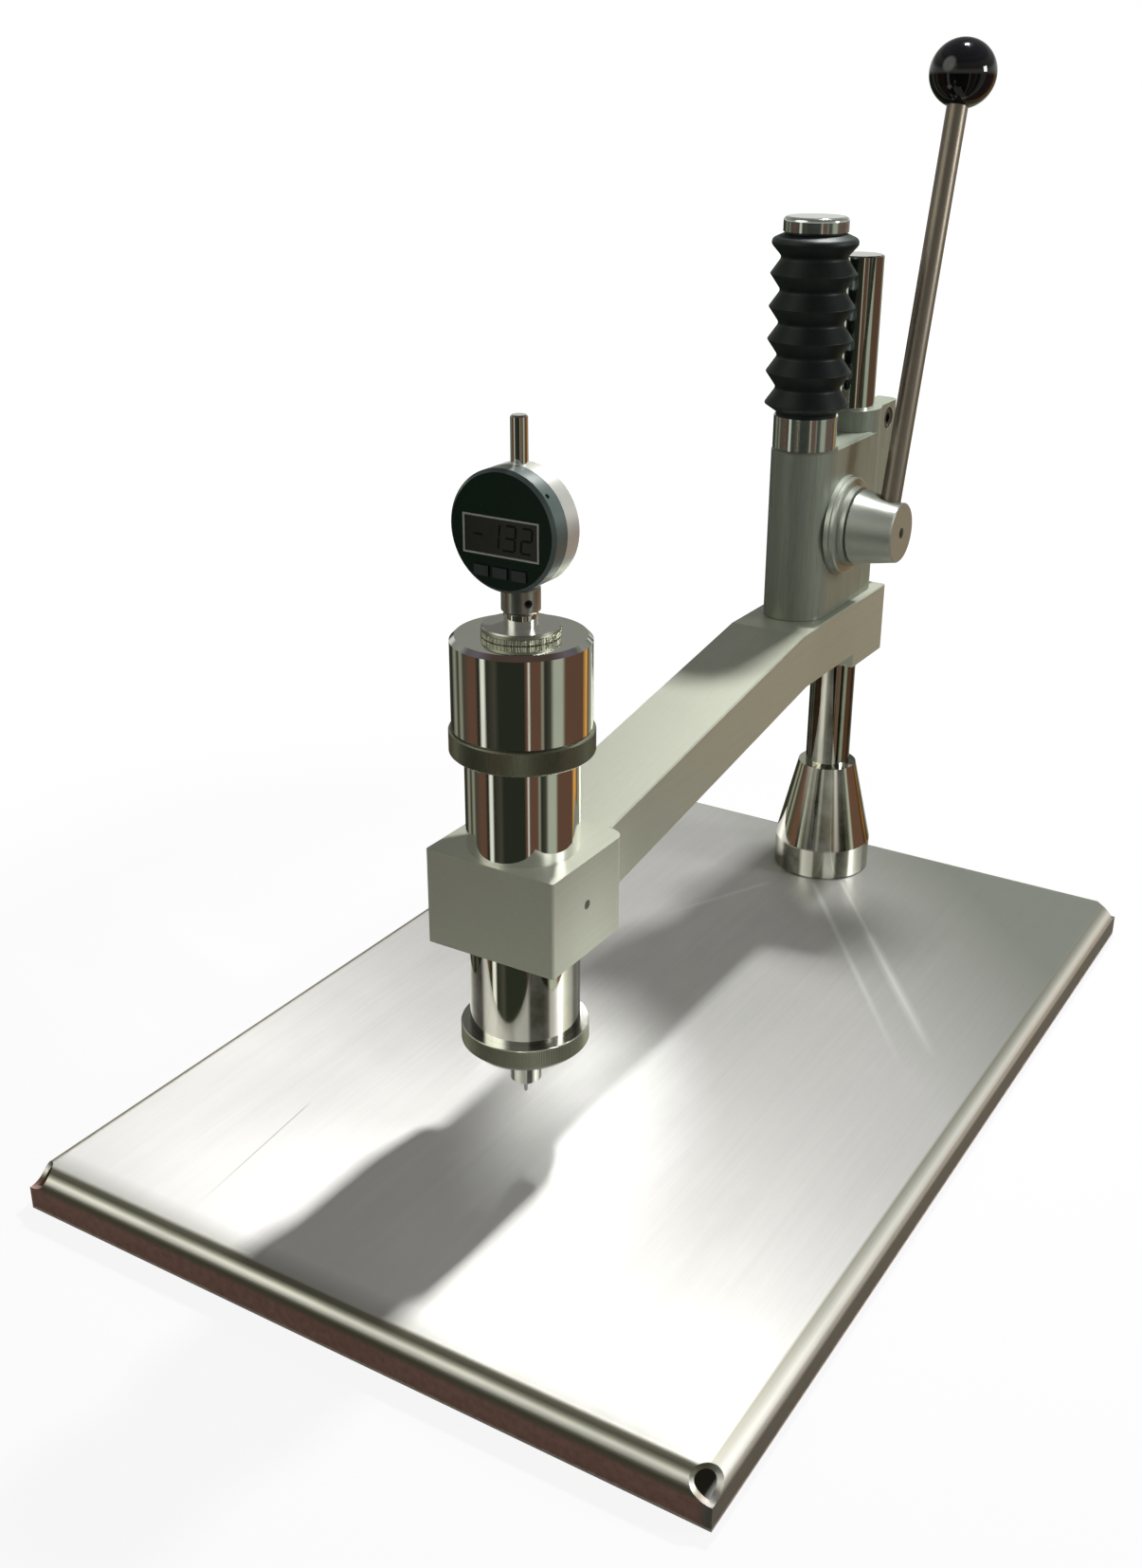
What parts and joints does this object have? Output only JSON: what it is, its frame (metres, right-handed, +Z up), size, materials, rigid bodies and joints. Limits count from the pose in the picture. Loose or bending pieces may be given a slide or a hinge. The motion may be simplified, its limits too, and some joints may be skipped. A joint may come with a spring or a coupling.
{
  "type": "durometer",
  "caption": "Bench durometer: sprung needle and digital indicator on a cranked arm, lowered over a folded steel base by a lever, rack and pinion",
  "frame": {"origin": "on the floor, under the middle of the base plate", "axes": "+Z up, +X towards the lever's side, -Y towards the indicator at the front, Y along the base"},
  "size_m": [0.4, 0.6, 0.5684],
  "materials": {
    "brushed_plate": "brushed",
    "polished_steel": "polished",
    "housing_steel": "satin",
    "arm_metal": "satin",
    "knurled_steel": "knurled",
    "satin_steel": "satin",
    "rod_steel": "drawn",
    "bellows_rubber": "matt",
    "knob_plastic": "gloss",
    "spring_steel": "drawn",
    "bush_bronze": "turned",
    "screw_steel": "blackened",
    "indicator_silver": "satin",
    "indicator_slate": "matt",
    "indicator_black": "matt",
    "display_rim": "satin",
    "display_dark": "gloss",
    "board_green": "matt"
  },
  "bodies": {
    "stand": {"base_plate": "brushed_plate", "column_foot": "polished_steel", "foot_washer": "satin_steel", "foot_bolt": "screw_steel", "column": "polished_steel", "press_housing": "housing_steel", "lower_clamp_screw": "screw_steel", "upper_clamp_screw": "screw_steel", "guide_ring": "polished_steel", "bearing_flange": "satin_steel", "right_bush": "bush_bronze", "left_bush": "bush_bronze", "left_cap": "satin_steel", "bellows": "bellows_rubber", "return_spring": "spring_steel"},
    "arm_slide": {"ram": "satin_steel", "ram_cap": "polished_steel", "arm": "arm_metal", "arm_bush": "bush_bronze", "ram_screw": "screw_steel", "grub_screw": "screw_steel", "head_tube": "polished_steel", "bottom_ring": "knurled_steel", "nose": "polished_steel", "lower_guide": "bush_bronze", "upper_guide": "bush_bronze", "cup_ring": "knurled_steel", "top_cup": "polished_steel", "lock_disc": "satin_steel", "stem_sleeve": "polished_steel", "stem_collar": "satin_steel", "collar_screw": "screw_steel", "gauge_case": "indicator_silver", "gauge_back_cover": "indicator_silver", "gauge_stem": "satin_steel", "spindle_guard": "polished_steel", "gauge_bezel": "indicator_slate", "gauge_face": "indicator_black", "display_frame": "display_rim", "display_panel": "display_dark", "circuit_board": "board_green", "button_cell": "satin_steel", "main_spring": "spring_steel"},
    "lever": {"pinion_shaft": "satin_steel", "hub_key": "satin_steel", "lever_hub": "satin_steel", "lever_rod": "rod_steel", "lever_knob": "knob_plastic"},
    "indenter": {"needle": "satin_steel", "plunger": "satin_steel", "spindle": "satin_steel"},
    "left_button": {"left_key": "indicator_slate"},
    "middle_button": {"middle_key": "indicator_slate"},
    "right_button": {"right_key": "indicator_slate"}
  },
  "joints": [
    {"name": "ram_travel", "type": "slide", "parent": "stand", "child": "arm_slide", "axis": [0, 0, -1], "range_m": [0, 0.023], "stiffness_N_per_m": 1500, "springref_m": -0.06, "deforming": ["bellows", "return_spring"]},
    {"name": "lever_turn", "type": "hinge", "parent": "stand", "child": "lever", "pos_m": [0, 0.2055, 0.285], "axis": [1, 0, 0], "range_deg": [0, 97.7]},
    {"name": "indenter_travel", "type": "slide", "parent": "arm_slide", "child": "indenter", "axis": [0, 0, 1], "range_m": [0, 0.008], "stiffness_N_per_m": 300, "springref_m": -0.02, "deforming": ["main_spring"]},
    {"name": "left_press", "type": "slide", "parent": "arm_slide", "child": "left_button", "axis": [0, 1, 0], "range_m": [0, 0.0006], "stiffness_N_per_m": 400, "springref_m": -0.001},
    {"name": "middle_press", "type": "slide", "parent": "arm_slide", "child": "middle_button", "axis": [0, 1, 0], "range_m": [0, 0.0006], "stiffness_N_per_m": 400, "springref_m": -0.001},
    {"name": "right_press", "type": "slide", "parent": "arm_slide", "child": "right_button", "axis": [0, 1, 0], "range_m": [0, 0.0006], "stiffness_N_per_m": 400, "springref_m": -0.001}
  ],
  "couplings": [
    {"joint": "lever_turn", "follows": "ram_travel", "rad_per_m": 74.074}
  ]
}
